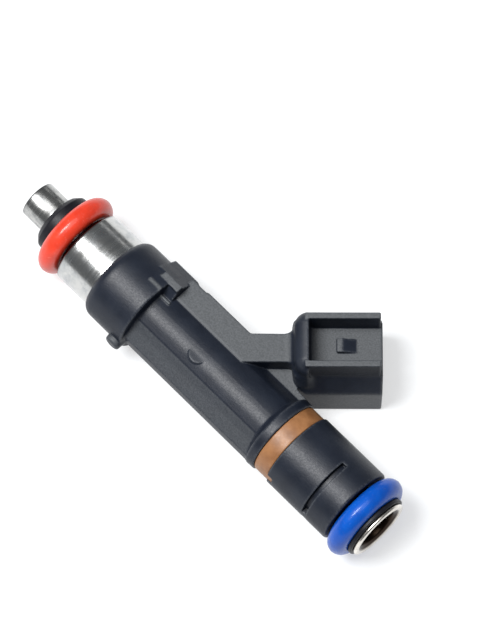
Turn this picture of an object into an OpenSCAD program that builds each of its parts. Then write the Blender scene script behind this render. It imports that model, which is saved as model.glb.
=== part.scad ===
// Port fuel injector, long body, with a slanted two-pin plug housing.
// Millimetres. The injector lies on its side: +X runs along its axis from the
// nozzle to the fuel inlet, +Z is up, and the plug housing leans towards +X +Y.
// The origin is on the axis, in the middle plane of the nozzle O-ring.

/* [Injector body] */
// Distance between the middles of the two O-rings
o_ring_pitch = 62; // [60:0.5:66]
// Radius of the moulded middle body
main_r = 4.9; // [4.7:0.1:5.2]
// Radius of the moulded collar over the solenoid
collar_r = 7.1; // [6.9:0.1:7.6]
// Radius of the sleeve at the inlet end
sleeve_r = 6.4; // [6.2:0.05:6.8]
// Outer radius of the coloured ring
colour_ring_r = 6.15; // [5.9:0.05:6.4]

/* [Seals] */
// Radius of an O-ring's own section
o_ring_cord_r = 1.75; // [1.7:0.05:1.9]
// Outer radius of the retainer in front of the nozzle O-ring
retainer_r = 4.95; // [4.6:0.05:5.4]

/* [Nozzle and solenoid] */
// Position of the nozzle's end face
tip_x = -8.5; // [-10:0.1:-8]
// Radius of the nozzle tip
tip_r = 3.05; // [2.9:0.05:3.2]
// Outer radius of the steel solenoid shell
shell_r = 6.27; // [6:0.01:6.5]
// Lift of the valve, from the seat to the pole
lift = 0.08; // [0.06:0.01:0.12]

/* [Fuel tube] */
// Outer radius of the fuel tube, which is also the O-rings' seat
tube_r = 3.7; // [3.6:0.05:3.75]
// Bore radius of the fuel tube
tube_bore_r = 3.3; // [3.25:0.05:3.35]
// Outer radius of the flare at the inlet
flare_r = 5; // [4.8:0.1:5.3]

/* [Plug housing] */
// Angle of the housing from the injector's axis
plug_angle = 45.6; // [44:0.1:47]
// Length of the housing
plug_len = 13.4; // [13:0.1:15]
// Half width of the housing
plug_half_w = 6; // [5.8:0.1:6.2]
// Height of the two latch rails above the axis
rail_top_z = 8; // [7.5:0.1:8.5]
// Distance between the outer faces of the rails
rail_span = 8.55; // [8.4:0.05:9]
// Width of the arm that carries the terminals
arm_w = 4.5; // [4.2:0.1:4.8]

/* [Hidden] */
$fn = 96;

// Stations along the axis
retainer_x0 = -3.9;
seat_step_x = -o_ring_cord_r - 0.5;
shell_x0 = 2.2;
shell_front_t = 1.4;
collar_x0 = 8.3;
shell_x1 = 15.4;
collar_x1 = 17.1;
shoulder_x0 = o_ring_pitch - 18.7;
ring_x0 = o_ring_pitch - 17.2;
ring_x1 = o_ring_pitch - 14.4;
sleeve_x1 = o_ring_pitch - o_ring_cord_r - 0.3;
backing_x0 = o_ring_pitch + o_ring_cord_r;
backing_t = 0.7;
flare_x0 = backing_x0 + backing_t;
flare_t = 0.6;
tube_x0 = 3.6;
tube_x1 = flare_x0 + flare_t;

// Solenoid
shell_wall = 0.9;
washer_t = 1.2;
bobbin_x0 = shell_x0 + shell_front_t;
bobbin_x1 = shell_x1 - washer_t;
bobbin_flange_t = 0.7;
bobbin_core_r = tube_r + 0.5;
winding_r = shell_r - shell_wall - 0.2;

// Valve: the ball rests in a cone, and the armature stops on the pole
ball_r = 1.5;
ball_x = tip_x + 3.2;
seat_x0 = tip_x + 0.5;
seat_t = 2.6;
seat_hole_r = 0.8;
body_bore_r = 2.2;
valve_body_x1 = 6.2;
needle_r = 1.1;
needle_bore_r = 0.7;
needle_x0 = ball_x + ball_r - 0.4;
armature_x0 = 6.8;
armature_x1 = 11.6;
armature_gap = 0.06;
stop_gap = 0.01;
pole_x0 = armature_x1 + lift + stop_gap;
pole_x1 = 25;
pole_bore_r = 1.5;
spring_seat_x = 10;
spring_wire_r = 0.2;
spring_r = 1.15;
spring_turns = 9;
adjuster_x0 = 19;
adjuster_len = 5;
adjuster_bore_r = 0.95;

// Filter in the inlet
filter_x0 = o_ring_pitch - 12;
filter_x1 = tube_x1 - 1.6;
filter_frame_r = 2.7;
filter_ring_len = 2.4;

// Terminal bar along the body, then the arm under the plug housing
bar_z = 4.2;
bar_y0 = 2.85;
bar_y1 = 6.95;
arm_line_x = 27;
web_z = 0.9;
block_x0 = 14;
block_x1 = 18.95;

// Plug housing, in its own frame: u along it, v across it, w up
plug_u0 = 14;
plug_side_z = -0.2;
plug_floor_z = 3.6;
plug_bottom_z = -7.2;
plug_edge = 0.3;
plug_rear_r = 2.6;
rail_t = 1;
rail_end = 0.5;
hood_len = 2.2;
hood_half_w = 4.9;
hood_r = 2;
socket_half_w = 4.5;
socket_z0 = -5.6;
socket_z1 = 2;
socket_depth = 10;
blade_z = (socket_z0 + socket_z1) / 2;
blade_w = 1.5;
blade_t = 0.8;
blade_pitch = 4.2;
blade_len = 6.2;

// Terminals inside the moulding
strip_t = 0.64;
strip_w = 1.4;
strip_z = 1.2;
strip_y = (bar_y0 + bar_y1) / 2;

// Turns a shape drawn along Z so that it lies along X
module along_x() {
    rotate([0, 90, 0]) children();
}

// A round bar from x0 to x1
module bar_x(r, x0, x1) {
    translate([x0, 0, 0]) along_x() cylinder(r = r, h = x1 - x0);
}

// A tube from x0 to x1
module tube_x(r, bore, x0, x1) {
    difference() {
        bar_x(r, x0, x1);
        bar_x(bore, x0 - 1, x1 + 1);
    }
}

// A cone frustum from x0 to x1
module cone_x(r0, r1, x0, x1) {
    translate([x0, 0, 0]) along_x() cylinder(r1 = r0, r2 = r1, h = x1 - x0);
}

// Moves a shape into the plug housing's frame: u along X, v along Y
module plug_frame() {
    translate([arm_line_x, 0, 0]) rotate([0, 0, plug_angle]) children();
}

// A block with its corners at two opposite points
module block(low, high) {
    translate(low) cube(high - low);
}

// Nozzle: steel valve body, seat and spray disc
module valve_body() {
    color("lightgray") difference() {
        union() {
            cone_x(tip_r - 0.25, tip_r, tip_x, tip_x + 0.25);
            bar_x(tip_r, tip_x + 0.25, retainer_x0);
            bar_x(tip_r + 0.3, retainer_x0, seat_step_x);
            bar_x(tube_r, seat_step_x, tube_x0);
            bar_x(tube_bore_r, tube_x0, valve_body_x1);
        }
        bar_x(body_bore_r, tip_x - 1, valve_body_x1 + 1);
    }
}

module valve_seat() {
    color("gray") difference() {
        bar_x(body_bore_r, seat_x0, seat_x0 + seat_t);
        bar_x(seat_hole_r, seat_x0 - 1, seat_x0 + seat_t);
        cone_x(0, 3.2, ball_x - ball_r * sqrt(2) - 0.02, ball_x - ball_r * sqrt(2) + 3.18);
        bar_x(ball_r + 0.05, ball_x - 0.3, seat_x0 + seat_t + 1);
    }
}

module spray_disc() {
    holes = 4;
    color("silver") difference() {
        bar_x(body_bore_r, seat_x0 - 0.25, seat_x0);
        for (i = [0 : holes - 1])
            rotate([360 / holes * (i + 0.5), 0, 0])
                translate([0, 0.45, 0]) bar_x(0.12, seat_x0 - 1, seat_x0 + 1);
    }
}

// Moving valve: ball, tubular needle and armature
module valve_ball() {
    color("silver") difference() {
        translate([ball_x, 0, 0]) sphere(r = ball_r);
        bar_x(needle_r, needle_x0, ball_x + ball_r + 1);
    }
}

module valve_needle() {
    color("silver") difference() {
        tube_x(needle_r, needle_bore_r, needle_x0, spring_seat_x);
        for (x = [2, 4.5])
            translate([x, 0, 0]) cylinder(r = 0.35, h = 2 * needle_r + 1, center = true);
    }
}

module armature() {
    color("dimgray") difference() {
        bar_x(tube_bore_r - armature_gap, armature_x0, armature_x1);
        bar_x(needle_r, armature_x0 - 1, spring_seat_x);
        bar_x(pole_bore_r, spring_seat_x, armature_x1 + 1);
    }
}

// Return spring: a round wire swept along a helix
module return_spring() {
    sides = 8;
    steps = spring_turns * 16;
    rise = adjuster_x0 - spring_seat_x - 2 * spring_wire_r - 2 * stop_gap;
    points = [for (i = [0 : steps]) for (k = [0 : sides - 1])
        let (turn = 360 * spring_turns * i / steps, around = 360 * k / sides,
            r = spring_r + spring_wire_r * cos(around))
        [spring_seat_x + spring_wire_r + stop_gap + rise * i / steps + spring_wire_r * sin(around),
            r * cos(turn), r * sin(turn)]];
    walls = [for (i = [0 : steps - 1]) for (k = [0 : sides - 1])
        let (a = i * sides + k, b = i * sides + (k + 1) % sides)
        [a, b, b + sides, a + sides]];
    first_cap = [for (k = [sides - 1 : -1 : 0]) k];
    last_cap = [for (k = [0 : sides - 1]) steps * sides + k];
    color("gold") polyhedron(points = points, faces = concat([first_cap], walls, [last_cap]));
}

module pole_core() {
    color("gray") tube_x(tube_bore_r, pole_bore_r, pole_x0, pole_x1);
}

module spring_adjuster() {
    color("tan") difference() {
        tube_x(pole_bore_r, adjuster_bore_r, adjuster_x0, adjuster_x0 + adjuster_len);
        block([adjuster_x0 - 1, -0.2, 0], [adjuster_x0 + adjuster_len + 1, 0.2, 2]);
    }
}

// Deep-drawn fuel tube with a flared inlet
module fuel_tube() {
    mouth_r = flare_r - 0.7;
    color("silver") difference() {
        union() {
            bar_x(tube_r, tube_x0, flare_x0);
            bar_x(flare_r, flare_x0, tube_x1 - 0.15);
            cone_x(flare_r, flare_r - 0.15, tube_x1 - 0.15, tube_x1);
        }
        bar_x(tube_bore_r, tube_x0 - 1, tube_x1 + 1);
        cone_x(tube_bore_r, mouth_r, flare_x0 + 0.05, tube_x1 - 0.15);
        bar_x(mouth_r, tube_x1 - 0.15, tube_x1 + 1);
    }
}

// Solenoid: bobbin, winding, shell and washer
module coil_bobbin() {
    flange_r = shell_r - shell_wall;
    color("ivory") difference() {
        union() {
            bar_x(bobbin_core_r, bobbin_x0, bobbin_x1);
            bar_x(flange_r, bobbin_x0, bobbin_x0 + bobbin_flange_t);
            bar_x(flange_r, bobbin_x1 - bobbin_flange_t, bobbin_x1);
        }
        bar_x(tube_r, bobbin_x0 - 1, bobbin_x1 + 1);
        terminal_slot(bobbin_x1 - bobbin_flange_t);
    }
}

module coil_winding() {
    color("orangered") tube_x(winding_r, bobbin_core_r,
        bobbin_x0 + bobbin_flange_t, bobbin_x1 - bobbin_flange_t);
}

module solenoid_shell() {
    color("silver") difference() {
        union() {
            cone_x(shell_r - 0.6, shell_r, shell_x0, shell_x0 + 0.6);
            bar_x(shell_r, shell_x0 + 0.6, shell_x1);
        }
        bar_x(tube_r, shell_x0 - 1, bobbin_x0 + 1);
        bar_x(shell_r - shell_wall, bobbin_x0, shell_x1 + 1);
    }
}

module flux_washer() {
    color("gray") difference() {
        tube_x(shell_r - shell_wall, tube_r, bobbin_x1, shell_x1);
        terminal_slot(bobbin_x1 - 1);
    }
}

// Clear slot, from x0 on, where both terminals leave the coil
module terminal_slot(x0) {
    block([x0, tube_r + 0.3, -strip_z - 0.6], [shell_x1 + 1, shell_r, strip_z + 0.6]);
}

// One terminal: side is 1 above the middle plane and -1 below it
module terminal(side) {
    z0 = side * strip_z - strip_t / 2;
    z1 = side * strip_z + strip_t / 2;
    bend_u = strip_y / sin(plug_angle);
    link_u = plug_u0 + 1.2;
    color("tan") union() {
        block([bobbin_x1 - bobbin_flange_t, tube_r + 0.5, z0], [shell_x1 + 1, shell_r - 1.1, z1]);
        block([shell_x1 + 0.3, tube_r + 0.5, z0], [shell_x1 + 1.7, strip_y + strip_w / 2, z1]);
        block([shell_x1 + 0.3, strip_y - strip_w / 2, z0],
            [arm_line_x + strip_y + strip_w * 0.3, strip_y + strip_w / 2, z1]);
        plug_frame() {
            block([bend_u - strip_w * 0.3, -strip_w / 2, z0], [link_u, strip_w / 2, z1]);
            terminal_link(side, link_u);
            block([link_u, side * blade_pitch / 2 - blade_w / 2, blade_z - blade_t / 2],
                [plug_u0 + plug_len - socket_depth + blade_len,
                side * blade_pitch / 2 + blade_w / 2, blade_z + blade_t / 2]);
        }
    }
}

// Step from the strip in the arm to the blade's place, across the housing
module terminal_link(side, u0) {
    reach = blade_pitch / 2 + blade_w / 2;
    low = side > 0 ? [0, -strip_w / 2] : [0, -reach];
    high = side > 0 ? [strip_t, reach] : [strip_t, strip_w / 2];
    v0 = side > 0 ? reach - blade_w : -reach;
    z_strip = side * strip_z;
    translate([u0, 0, 0]) {
        block([low[0], low[1], z_strip - strip_t / 2], [high[0], high[1], z_strip + strip_t / 2]);
        block([0, v0, blade_z - blade_t / 2], [strip_t, v0 + blade_w, z_strip + strip_t / 2]);
    }
}

module terminal_a() {
    terminal(1);
}

module terminal_b() {
    terminal(-1);
}

// Collar with a rounded front edge
module collar() {
    round_r = 1.7;
    along_x() rotate_extrude() {
        translate([0, collar_x0 + round_r]) square([collar_r, collar_x1 - collar_x0 - round_r]);
        translate([0, collar_x0]) square([collar_r - round_r, round_r + 0.1]);
        translate([collar_r - round_r, collar_x0 + round_r]) circle(r = round_r, $fn = 48);
    }
}

// Middle body's sloping sides, in the y and z directions
module rib_section() {
    polygon([[0, main_r * 0.95], [-3.2, 3.7], [-6.2, 1.2], [-6.2, -1.2], [-3.2, -3.7],
        [0, -main_r * 0.95], [3.2, -3.7], [5.5, -web_z], [5.5, web_z], [3.2, 3.7]]);
}

// Draws a y-z section along X from x0 to x1
module extrude_yz(x0, x1) {
    translate([x0, 0, 0]) rotate([90, 0, 90]) linear_extrude(x1 - x0) children();
}

// Block on the collar where the terminals leave the solenoid
module block_section() {
    half = [[0, 4.4], [1.7, 4.5], [3.15, 5.85], [4.3, 5.85], [7.5, 2.2], [7.8, 1]];
    polygon(concat(half, [for (i = [len(half) - 1 : -1 : 0]) [half[i][0], -half[i][1]]]));
}

// Narrow ledges beside the block, above and below
module block_ledges() {
    for (up = [0, 1])
        mirror([0, 0, up]) {
            block([block_x0 + 0.3, 0.5, 5], [block_x0 + 2.8, 2.05, 6.95]);
            block([block_x0 + 1.3, 3.15, 5], [block_x1 - 0.05, 4.15, 6.35]);
            block([collar_x1 - 0.5, 1.05, 4], [collar_x1 + 2, 1.6, 5.1]);
        }
}

// Housing section across its length, in the v and w directions
module plug_section() {
    top_w = rail_span / 2;
    half = [[top_w, plug_floor_z], [plug_half_w, plug_side_z],
        [plug_half_w, plug_bottom_z + plug_edge], [plug_half_w - plug_edge, plug_bottom_z]];
    polygon(concat(half, [for (i = [len(half) - 1 : -1 : 0]) [-half[i][0], half[i][1]]]));
}

// A rectangle whose two corners at the low end of x are round
module rear_rounded(x0, x1, y0, y1, r) {
    translate([x0 + r, y0]) square([x1 - x0 - r, y1 - y0]);
    translate([x0, y0 + r]) square([r + 0.1, y1 - y0 - 2 * r]);
    for (y = [y0 + r, y1 - r])
        translate([x0 + r, y]) circle(r = r, $fn = 64);
}

// A rounded rectangle from circles and squares
module socket_section() {
    corner_r = 1.6;
    w = socket_half_w;
    union() {
        translate([-w + corner_r, socket_z0]) square([2 * (w - corner_r), socket_z1 - socket_z0]);
        translate([-w, socket_z0 + corner_r])
            square([2 * w, socket_z1 - socket_z0 - 2 * corner_r]);
        for (v = [-w + corner_r, w - corner_r])
            for (z = [socket_z0 + corner_r, socket_z1 - corner_r])
                translate([v, z]) circle(r = corner_r, $fn = 48);
    }
}

// Housing: body, latch rails, the hood that joins them at the back, and lock wedge
module plug_shroud() {
    plug_u1 = plug_u0 + plug_len;
    hood_u1 = plug_u0 + hood_len;
    intersection() {
        extrude_yz(plug_u0, plug_u1) plug_section();
        translate([0, 0, plug_bottom_z - 1]) linear_extrude(plug_floor_z - plug_bottom_z + 2)
            rear_rounded(plug_u0, plug_u1, -plug_half_w, plug_half_w, plug_rear_r);
    }
    for (v = [-rail_span / 2, rail_span / 2 - rail_t])
        block([hood_u1 - 0.5, v, plug_floor_z - 0.9],
            [plug_u1 - rail_end, v + rail_t, rail_top_z]);
    rail_hood(hood_u1);
    lock_nib(plug_u1);
}

// Hood that closes the back of the rails, round on every edge but the one towards them
module rail_hood(hood_u1) {
    w = hood_half_w;
    low = plug_floor_z - 1.8;
    intersection() {
        translate([0, w, 0]) rotate([90, 0, 0]) linear_extrude(2 * w)
            rear_rounded(plug_u0, hood_u1, low - hood_r, rail_top_z, hood_r);
        translate([0, 0, low]) linear_extrude(rail_top_z - low)
            rear_rounded(plug_u0, hood_u1, -w, w, hood_r);
        extrude_yz(plug_u0, hood_u1)
            rotate(-90) rear_rounded(-rail_top_z, -low, -w, w, hood_r);
    }
}

// Wedge between the rails that the plug's latch snaps over
module lock_nib(u1) {
    nib_w = 2.2;
    nib_h = 0.75;
    nib_v = 0.4;
    u0 = u1 - 7;
    translate([0, nib_v + nib_w / 2, 0]) rotate([90, 0, 0]) linear_extrude(nib_w)
        polygon([[u0, plug_floor_z - 0.3], [u0, plug_floor_z + nib_h],
            [u0 + 0.85, plug_floor_z + nib_h], [u0 + 3, plug_floor_z],
            [u0 + 3, plug_floor_z - 0.3]]);
}

// Outline of the terminal bar and arm, seen from above
module arm_plan() {
    translate([block_x1 - 0.5, bar_y0]) square([arm_line_x - block_x1 + 4, bar_y1 - bar_y0]);
    intersection() {
        translate([arm_line_x, 0]) rotate(plug_angle)
            translate([0, -arm_w / 2]) square([plug_u0 + 1, arm_w]);
        translate([arm_line_x - 10, bar_y0]) square([60, 60]);
    }
}

// Thin web in the corner between the body, the arm and the housing
module web_plan() {
    polygon([[arm_line_x + 2, 0], [shoulder_x0 + 0.5, 0], [shoulder_x0 + 0.5, 6.5],
        [arm_line_x + 14, 6.6], [arm_line_x + 10, 12], [arm_line_x + 2, 3]]);
}

module body_solid() {
    collar();
    bar_x(main_r, collar_x1 - 1, ring_x0);
    cone_x(main_r, sleeve_r, shoulder_x0 - 0.8, shoulder_x0);
    bar_x(sleeve_r, shoulder_x0, ring_x0);
    bar_x(main_r, ring_x0 - 1, ring_x1 + 3);
    extrude_yz(collar_x1 - 1, shoulder_x0 + 0.5) rib_section();
    extrude_yz(block_x0, block_x1) block_section();
    block_ledges();
    translate([0, 0, -bar_z]) linear_extrude(2 * bar_z) arm_plan();
    translate([0, 0, -web_z]) linear_extrude(2 * web_z) web_plan();
    plug_frame() plug_shroud();
    key_nub();
}

// Small round key on the collar, opposite the plug housing
module key_nub() {
    nub_r = 1.3;
    translate([15.95, -collar_r + 0.6, -1]) rotate([90, 0, 0]) cylinder(r = nub_r, h = 1.5);
}

module body_overmould() {
    color("darkslategray") difference() {
        body_solid();
        bar_x(tube_r, 0, ring_x1 + 10);
        bar_x(shell_r, 0, shell_x1);
        plug_frame()
            extrude_yz(plug_u0 + plug_len - socket_depth, plug_u0 + plug_len + 1) socket_section();
        terminal_a();
        terminal_b();
        ejector_mark();
    }
}

// Shallow round mark left on the moulding's upper side
module ejector_mark() {
    mark_r = 1.85;
    translate([27.6, -0.7, main_r - 0.12]) cylinder(r = mark_r, h = 1);
}

// Coloured ring with a small key into the end sleeve
module colour_ring() {
    color("peru") union() {
        tube_x(colour_ring_r, main_r, ring_x0, ring_x1);
        ring_key(0);
    }
}

module ring_key(gap) {
    intersection() {
        tube_x(colour_ring_r + gap, main_r + 0.3, ring_x1 - 0.5, ring_x1 + 1 + gap);
        block([ring_x1 - 0.5, -colour_ring_r - 1, -0.5 - gap], [ring_x1 + 2, 0, 1.5 + gap]);
    }
}

// Sleeve at the inlet end, with the slot that a retaining clip enters
module end_sleeve() {
    slot_x = o_ring_pitch - 7.1;
    color("darkslategray") difference() {
        union() {
            bar_x(sleeve_r, ring_x1 + 0.02, sleeve_x1 - 0.4);
            cone_x(sleeve_r, sleeve_r - 0.4, sleeve_x1 - 0.4, sleeve_x1);
        }
        bar_x(tube_r, ring_x1 - 1, sleeve_x1 + 1);
        bar_x(main_r, ring_x1 - 1, ring_x1 + 3);
        ring_key(0.05);
        clip_slot(slot_x);
    }
}

// Part-round groove cut in the sleeve on two sides
module clip_slot(x0) {
    groove_w = 0.7;
    groove_depth = 0.7;
    for (side = [-1, 1])
        intersection() {
            tube_x(sleeve_r + 1, sleeve_r - groove_depth, x0, x0 + groove_w);
            block([x0, -sleeve_r, side > 0 ? 0.8 : -sleeve_r - 1],
                [x0 + groove_w, 1.2, side > 0 ? sleeve_r + 1 : -0.8]);
        }
}

// Seals
module nozzle_retainer() {
    color("dimgray") difference() {
        union() {
            cone_x(retainer_r - 0.9, retainer_r, retainer_x0, retainer_x0 + 0.9);
            bar_x(retainer_r, retainer_x0 + 0.9, seat_step_x + 0.5);
        }
        bar_x(tip_r + 0.3, retainer_x0 - 1, seat_step_x);
        bar_x(tube_r, seat_step_x, seat_step_x + 1);
    }
}

module o_ring(x) {
    translate([x, 0, 0]) along_x() rotate_extrude()
        translate([tube_r + o_ring_cord_r, 0]) circle(r = o_ring_cord_r, $fn = 64);
}

module nozzle_o_ring() {
    color("orangered") o_ring(0);
}

module inlet_o_ring() {
    color("royalblue") o_ring(o_ring_pitch);
}

module inlet_backing_ring() {
    color("dimgray") tube_x(flare_r + 0.4, tube_r, backing_x0, backing_x0 + backing_t);
}

// Inlet filter: pressed ring, ribbed frame and mesh
module filter_ring() {
    color("gold") tube_x(tube_bore_r, filter_frame_r - 0.2, filter_x1 - filter_ring_len, filter_x1);
}

module filter_frame() {
    ribs = 4;
    rib_t = 0.5;
    wall = 0.5;
    frame_x1 = filter_x1 - filter_ring_len;
    color("white") union() {
        bar_x(filter_frame_r, filter_x0, filter_x0 + 1.2);
        tube_x(filter_frame_r, filter_frame_r - wall, frame_x1 - 1.5, frame_x1);
        intersection() {
            tube_x(filter_frame_r, filter_frame_r - wall, filter_x0 + 1, frame_x1 - 1);
            for (i = [0 : ribs / 2 - 1])
                rotate([180 / (ribs / 2) * i, 0, 0])
                    block([filter_x0, -5, -rib_t / 2], [frame_x1, 5, rib_t / 2]);
        }
    }
}

module filter_mesh() {
    mesh_t = 0.12;
    mesh_r = filter_frame_r - 0.5;
    color("whitesmoke")
        tube_x(mesh_r, mesh_r - mesh_t, filter_x0 + 1.2, filter_x1 - filter_ring_len);
}

valve_body();
valve_seat();
spray_disc();
valve_ball();
valve_needle();
armature();
return_spring();
pole_core();
spring_adjuster();
fuel_tube();
coil_bobbin();
coil_winding();
solenoid_shell();
flux_washer();
terminal_a();
terminal_b();
body_overmould();
colour_ring();
end_sleeve();
nozzle_retainer();
nozzle_o_ring();
inlet_o_ring();
inlet_backing_ring();
filter_ring();
filter_frame();
filter_mesh();
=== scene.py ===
"""Looks of the port fuel injector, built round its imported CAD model.

Shapes are worked out in millimetres, in the CAD model's own frame, and turned into metres when
their meshes are made. +X runs along the axis from the nozzle to the fuel inlet and +Z is up.
"""
import math

import bpy
import numpy as np
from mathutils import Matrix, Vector


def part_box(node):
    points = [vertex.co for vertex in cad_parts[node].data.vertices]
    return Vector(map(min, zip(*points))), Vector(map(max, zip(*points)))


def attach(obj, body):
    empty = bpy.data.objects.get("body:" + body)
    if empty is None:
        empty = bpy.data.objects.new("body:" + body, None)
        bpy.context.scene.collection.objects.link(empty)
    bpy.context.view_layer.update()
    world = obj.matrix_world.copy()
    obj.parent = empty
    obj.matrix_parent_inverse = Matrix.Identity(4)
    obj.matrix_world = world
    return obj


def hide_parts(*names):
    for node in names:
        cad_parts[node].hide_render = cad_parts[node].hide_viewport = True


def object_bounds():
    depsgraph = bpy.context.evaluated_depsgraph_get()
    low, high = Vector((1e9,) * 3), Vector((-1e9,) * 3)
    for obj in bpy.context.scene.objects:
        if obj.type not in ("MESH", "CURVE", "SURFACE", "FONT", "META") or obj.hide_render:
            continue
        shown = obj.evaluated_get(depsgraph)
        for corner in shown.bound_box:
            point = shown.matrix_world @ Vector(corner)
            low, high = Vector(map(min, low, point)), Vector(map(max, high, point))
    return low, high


MM = 0.001
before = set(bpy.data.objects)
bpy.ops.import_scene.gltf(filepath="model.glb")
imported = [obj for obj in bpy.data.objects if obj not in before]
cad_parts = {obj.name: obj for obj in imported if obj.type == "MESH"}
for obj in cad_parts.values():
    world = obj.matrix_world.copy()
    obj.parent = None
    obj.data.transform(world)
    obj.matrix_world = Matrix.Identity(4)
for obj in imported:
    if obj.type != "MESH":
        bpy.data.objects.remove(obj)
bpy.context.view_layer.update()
VOXEL = 0.15
FINE_VOXEL = 0.11


def span(node):
    """Lowest and highest x, y and z of a CAD node, in millimetres."""
    low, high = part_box(node)
    return np.array(low) / MM, np.array(high) / MM


# ---------------------------------------------------------------- dimensions taken from the frame
PITCH = float(sum(c[0] for c in span("inlet_o_ring")) / 2)
SEAL_R = float(span("nozzle_o_ring")[1][1])
CORD_R = float(span("nozzle_o_ring")[1][0])
TUBE_R = SEAL_R - 2 * CORD_R
TIP_X = float(span("valve_body")[0][0])
BODY_X0 = float(span("body_overmould")[0][0])
SHELL_R = float(span("solenoid_shell")[1][1])
SHELL_X0, SHELL_X1 = (float(c[0]) for c in span("solenoid_shell"))
RING_X0 = float(span("colour_ring")[0][0])
RING_R = float(span("colour_ring")[1][2])
SLEEVE_R = float(span("end_sleeve")[1][1])
SLEEVE_X1 = float(span("end_sleeve")[1][0])
TUBE_X1 = float(span("fuel_tube")[1][0])
FLARE_R = float(span("fuel_tube")[1][1])
BACK_X0, BACK_X1 = (float(c[0]) for c in span("inlet_backing_ring"))
BACK_R = float(span("inlet_backing_ring")[1][1])
FLOOR_Z = float(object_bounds()[0].z) / MM


# ---------------------------------------------------------------- dimensions of the CAD model
# Nozzle: tip, front of the retainer ring, and the step that the ring sits on.
TIP_R, TIP_BORE_R = 3.05, 2.2
RETAINER_X0 = -3.9
STEP_X = -CORD_R - 0.5
# Fuel tube: its front end, bore and the thickness of its flared lip.
TUBE_X0 = 3.6
TUBE_BORE_R = 3.3
LIP_T = 0.75
# Turned parts of the moulding. The colour ring ends at RING_X1.
MAIN_R = 4.9
COLLAR_R = 7.1
COLLAR_X1 = 17.1
SHOULDER_X = PITCH - 18.7
RING_X1 = PITCH - 14.4
# The colour ring's key, which sits in a notch of the end sleeve with KEY_GAP all round.
KEY_LEN, KEY_HALF, KEY_Z, KEY_TOP_Y, KEY_GAP = 0.95, 0.95, 0.5, -3.0, 0.1
# Groove for the retaining clip, in two halves.
SLOT_X, SLOT_W, SLOT_DEPTH = PITCH - 6.95, 0.8, 0.9
SLOT_TOP_Y, SLOT_BRIDGE_HALF = 2.1, 0.8
# Block on the collar, terminal bar and web, all symmetric about z = 0.
BLOCK_X0, BLOCK_X1 = 14.0, 18.95
BAR_Y0, BAR_Y1, BAR_Z = 2.85, 6.95, 4.2
WEB_Z = 0.9
# Round nub on the side of the collar.
NUB_X, NUB_Z, NUB_R = 15.95, -1.0, 1.3
# Ejector mark on the middle body, which is not in the CAD model. MARK_Z is its flat top.
MARK_X, MARK_Y, MARK_R, MARK_Z = 27.7, -1.0, 1.5, 4.74
# Arm and plug housing. u runs along the housing from the axis at x = ARM_X, and v across it.
ARM_X = 27.0
ARM_HALF = 2.25
PLUG_ANGLE = math.radians(45.6)
PLUG_U0, PLUG_U1 = 14.0, 27.4
PLUG_HALF = 6.0
PLUG_SIDE_Z, PLUG_FLOOR_Z, PLUG_BOTTOM_Z = -0.2, 3.6, -7.2
# Latch rails, and the hood behind them, which is a little rounder than in the CAD model.
RAIL_HALF, RAIL_T, RAIL_TOP_Z = 4.275, 1.0, 8.0
RAIL_END = 0.5
HOOD_LEN, HOOD_HALF, HOOD_R = 2.2, 4.9, 2.2
# Lock wedge between the rails, and the socket in the housing's mouth.
NIB_U, NIB_V0, NIB_V1, NIB_H = PLUG_U1 - 7, -0.7, 1.5, 0.75
SOCKET_DEPTH, SOCKET_HALF, SOCKET_Z0, SOCKET_Z1, SOCKET_R = 10, 4.5, -5.6, 2.0, 1.6


# ---------------------------------------------------------------- camera
CAMERA_AZIMUTH, CAMERA_ELEVATION = 45.71, 70.42
CAMERA_DISTANCE = 0.7036
CAMERA_LENS = 263.6
AIM = Vector((27.0, 8.33, 0.0)) * MM


# ---------------------------------------------------------------- outlines
def rounded(corners, steps=6):
    """A closed outline from (a, b, radius) corners, each corner turned into an arc."""
    out = []
    n = len(corners)
    for i, (a, b, radius) in enumerate(corners):
        p = np.array([a, b], float)
        if radius <= 0:
            out.append(p)
            continue
        before = np.array(corners[i - 1][:2], float) - p
        after = np.array(corners[(i + 1) % n][:2], float) - p
        before_len, after_len = np.linalg.norm(before), np.linalg.norm(after)
        before, after = before / before_len, after / after_len
        half = math.acos(max(-1, min(1, float(before @ after)))) / 2
        tangent = min(radius / math.tan(half), 0.499 * before_len, 0.499 * after_len)
        radius = tangent * math.tan(half)
        middle = before + after
        centre = p + middle / np.linalg.norm(middle) * (radius / math.sin(half))
        start, end = p + before * tangent - centre, p + after * tangent - centre
        turn = math.atan2(start[0] * end[1] - start[1] * end[0], float(start @ end))
        for k in range(steps + 1):
            c, s = math.cos(turn * k / steps), math.sin(turn * k / steps)
            out.append(centre + [c * start[0] - s * start[1], s * start[0] + c * start[1]])
    return np.array(out)


def outline_distance(outline, px, py):
    """Signed distance from points to a closed outline, negative inside."""
    best = np.full(np.broadcast(px, py).shape, 1e9)
    inside = np.zeros(best.shape, bool)
    for a, b in zip(outline, np.roll(outline, 1, axis=0)):
        ex, ey = b - a
        wx, wy = px - a[0], py - a[1]
        t = np.clip((wx * ex + wy * ey) / max(ex * ex + ey * ey, 1e-12), 0, 1)
        best = np.minimum(best, (wx - ex * t) ** 2 + (wy - ey * t) ** 2)
        if ey:
            inside ^= ((a[1] > py) != (b[1] > py)) & (px < ex * wy / ey + a[0])
    return np.where(inside, -1, 1) * np.sqrt(best)


# ---------------------------------------------------------------- solids as distance fields
# Inner radius of a turned solid with no bore, so far inside that the axis itself has no edge.
SOLID = -3


def meet(radius, *distances):
    """The part common to several solids, with its edges rounded to that radius."""
    grown = [d + radius for d in distances]
    deepest = grown[0]
    for d in grown[1:]:
        deepest = np.maximum(deepest, d)
    total = sum(np.maximum(d, 0) ** 2 for d in grown)
    return np.minimum(deepest, 0) + np.sqrt(total) - radius


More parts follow.
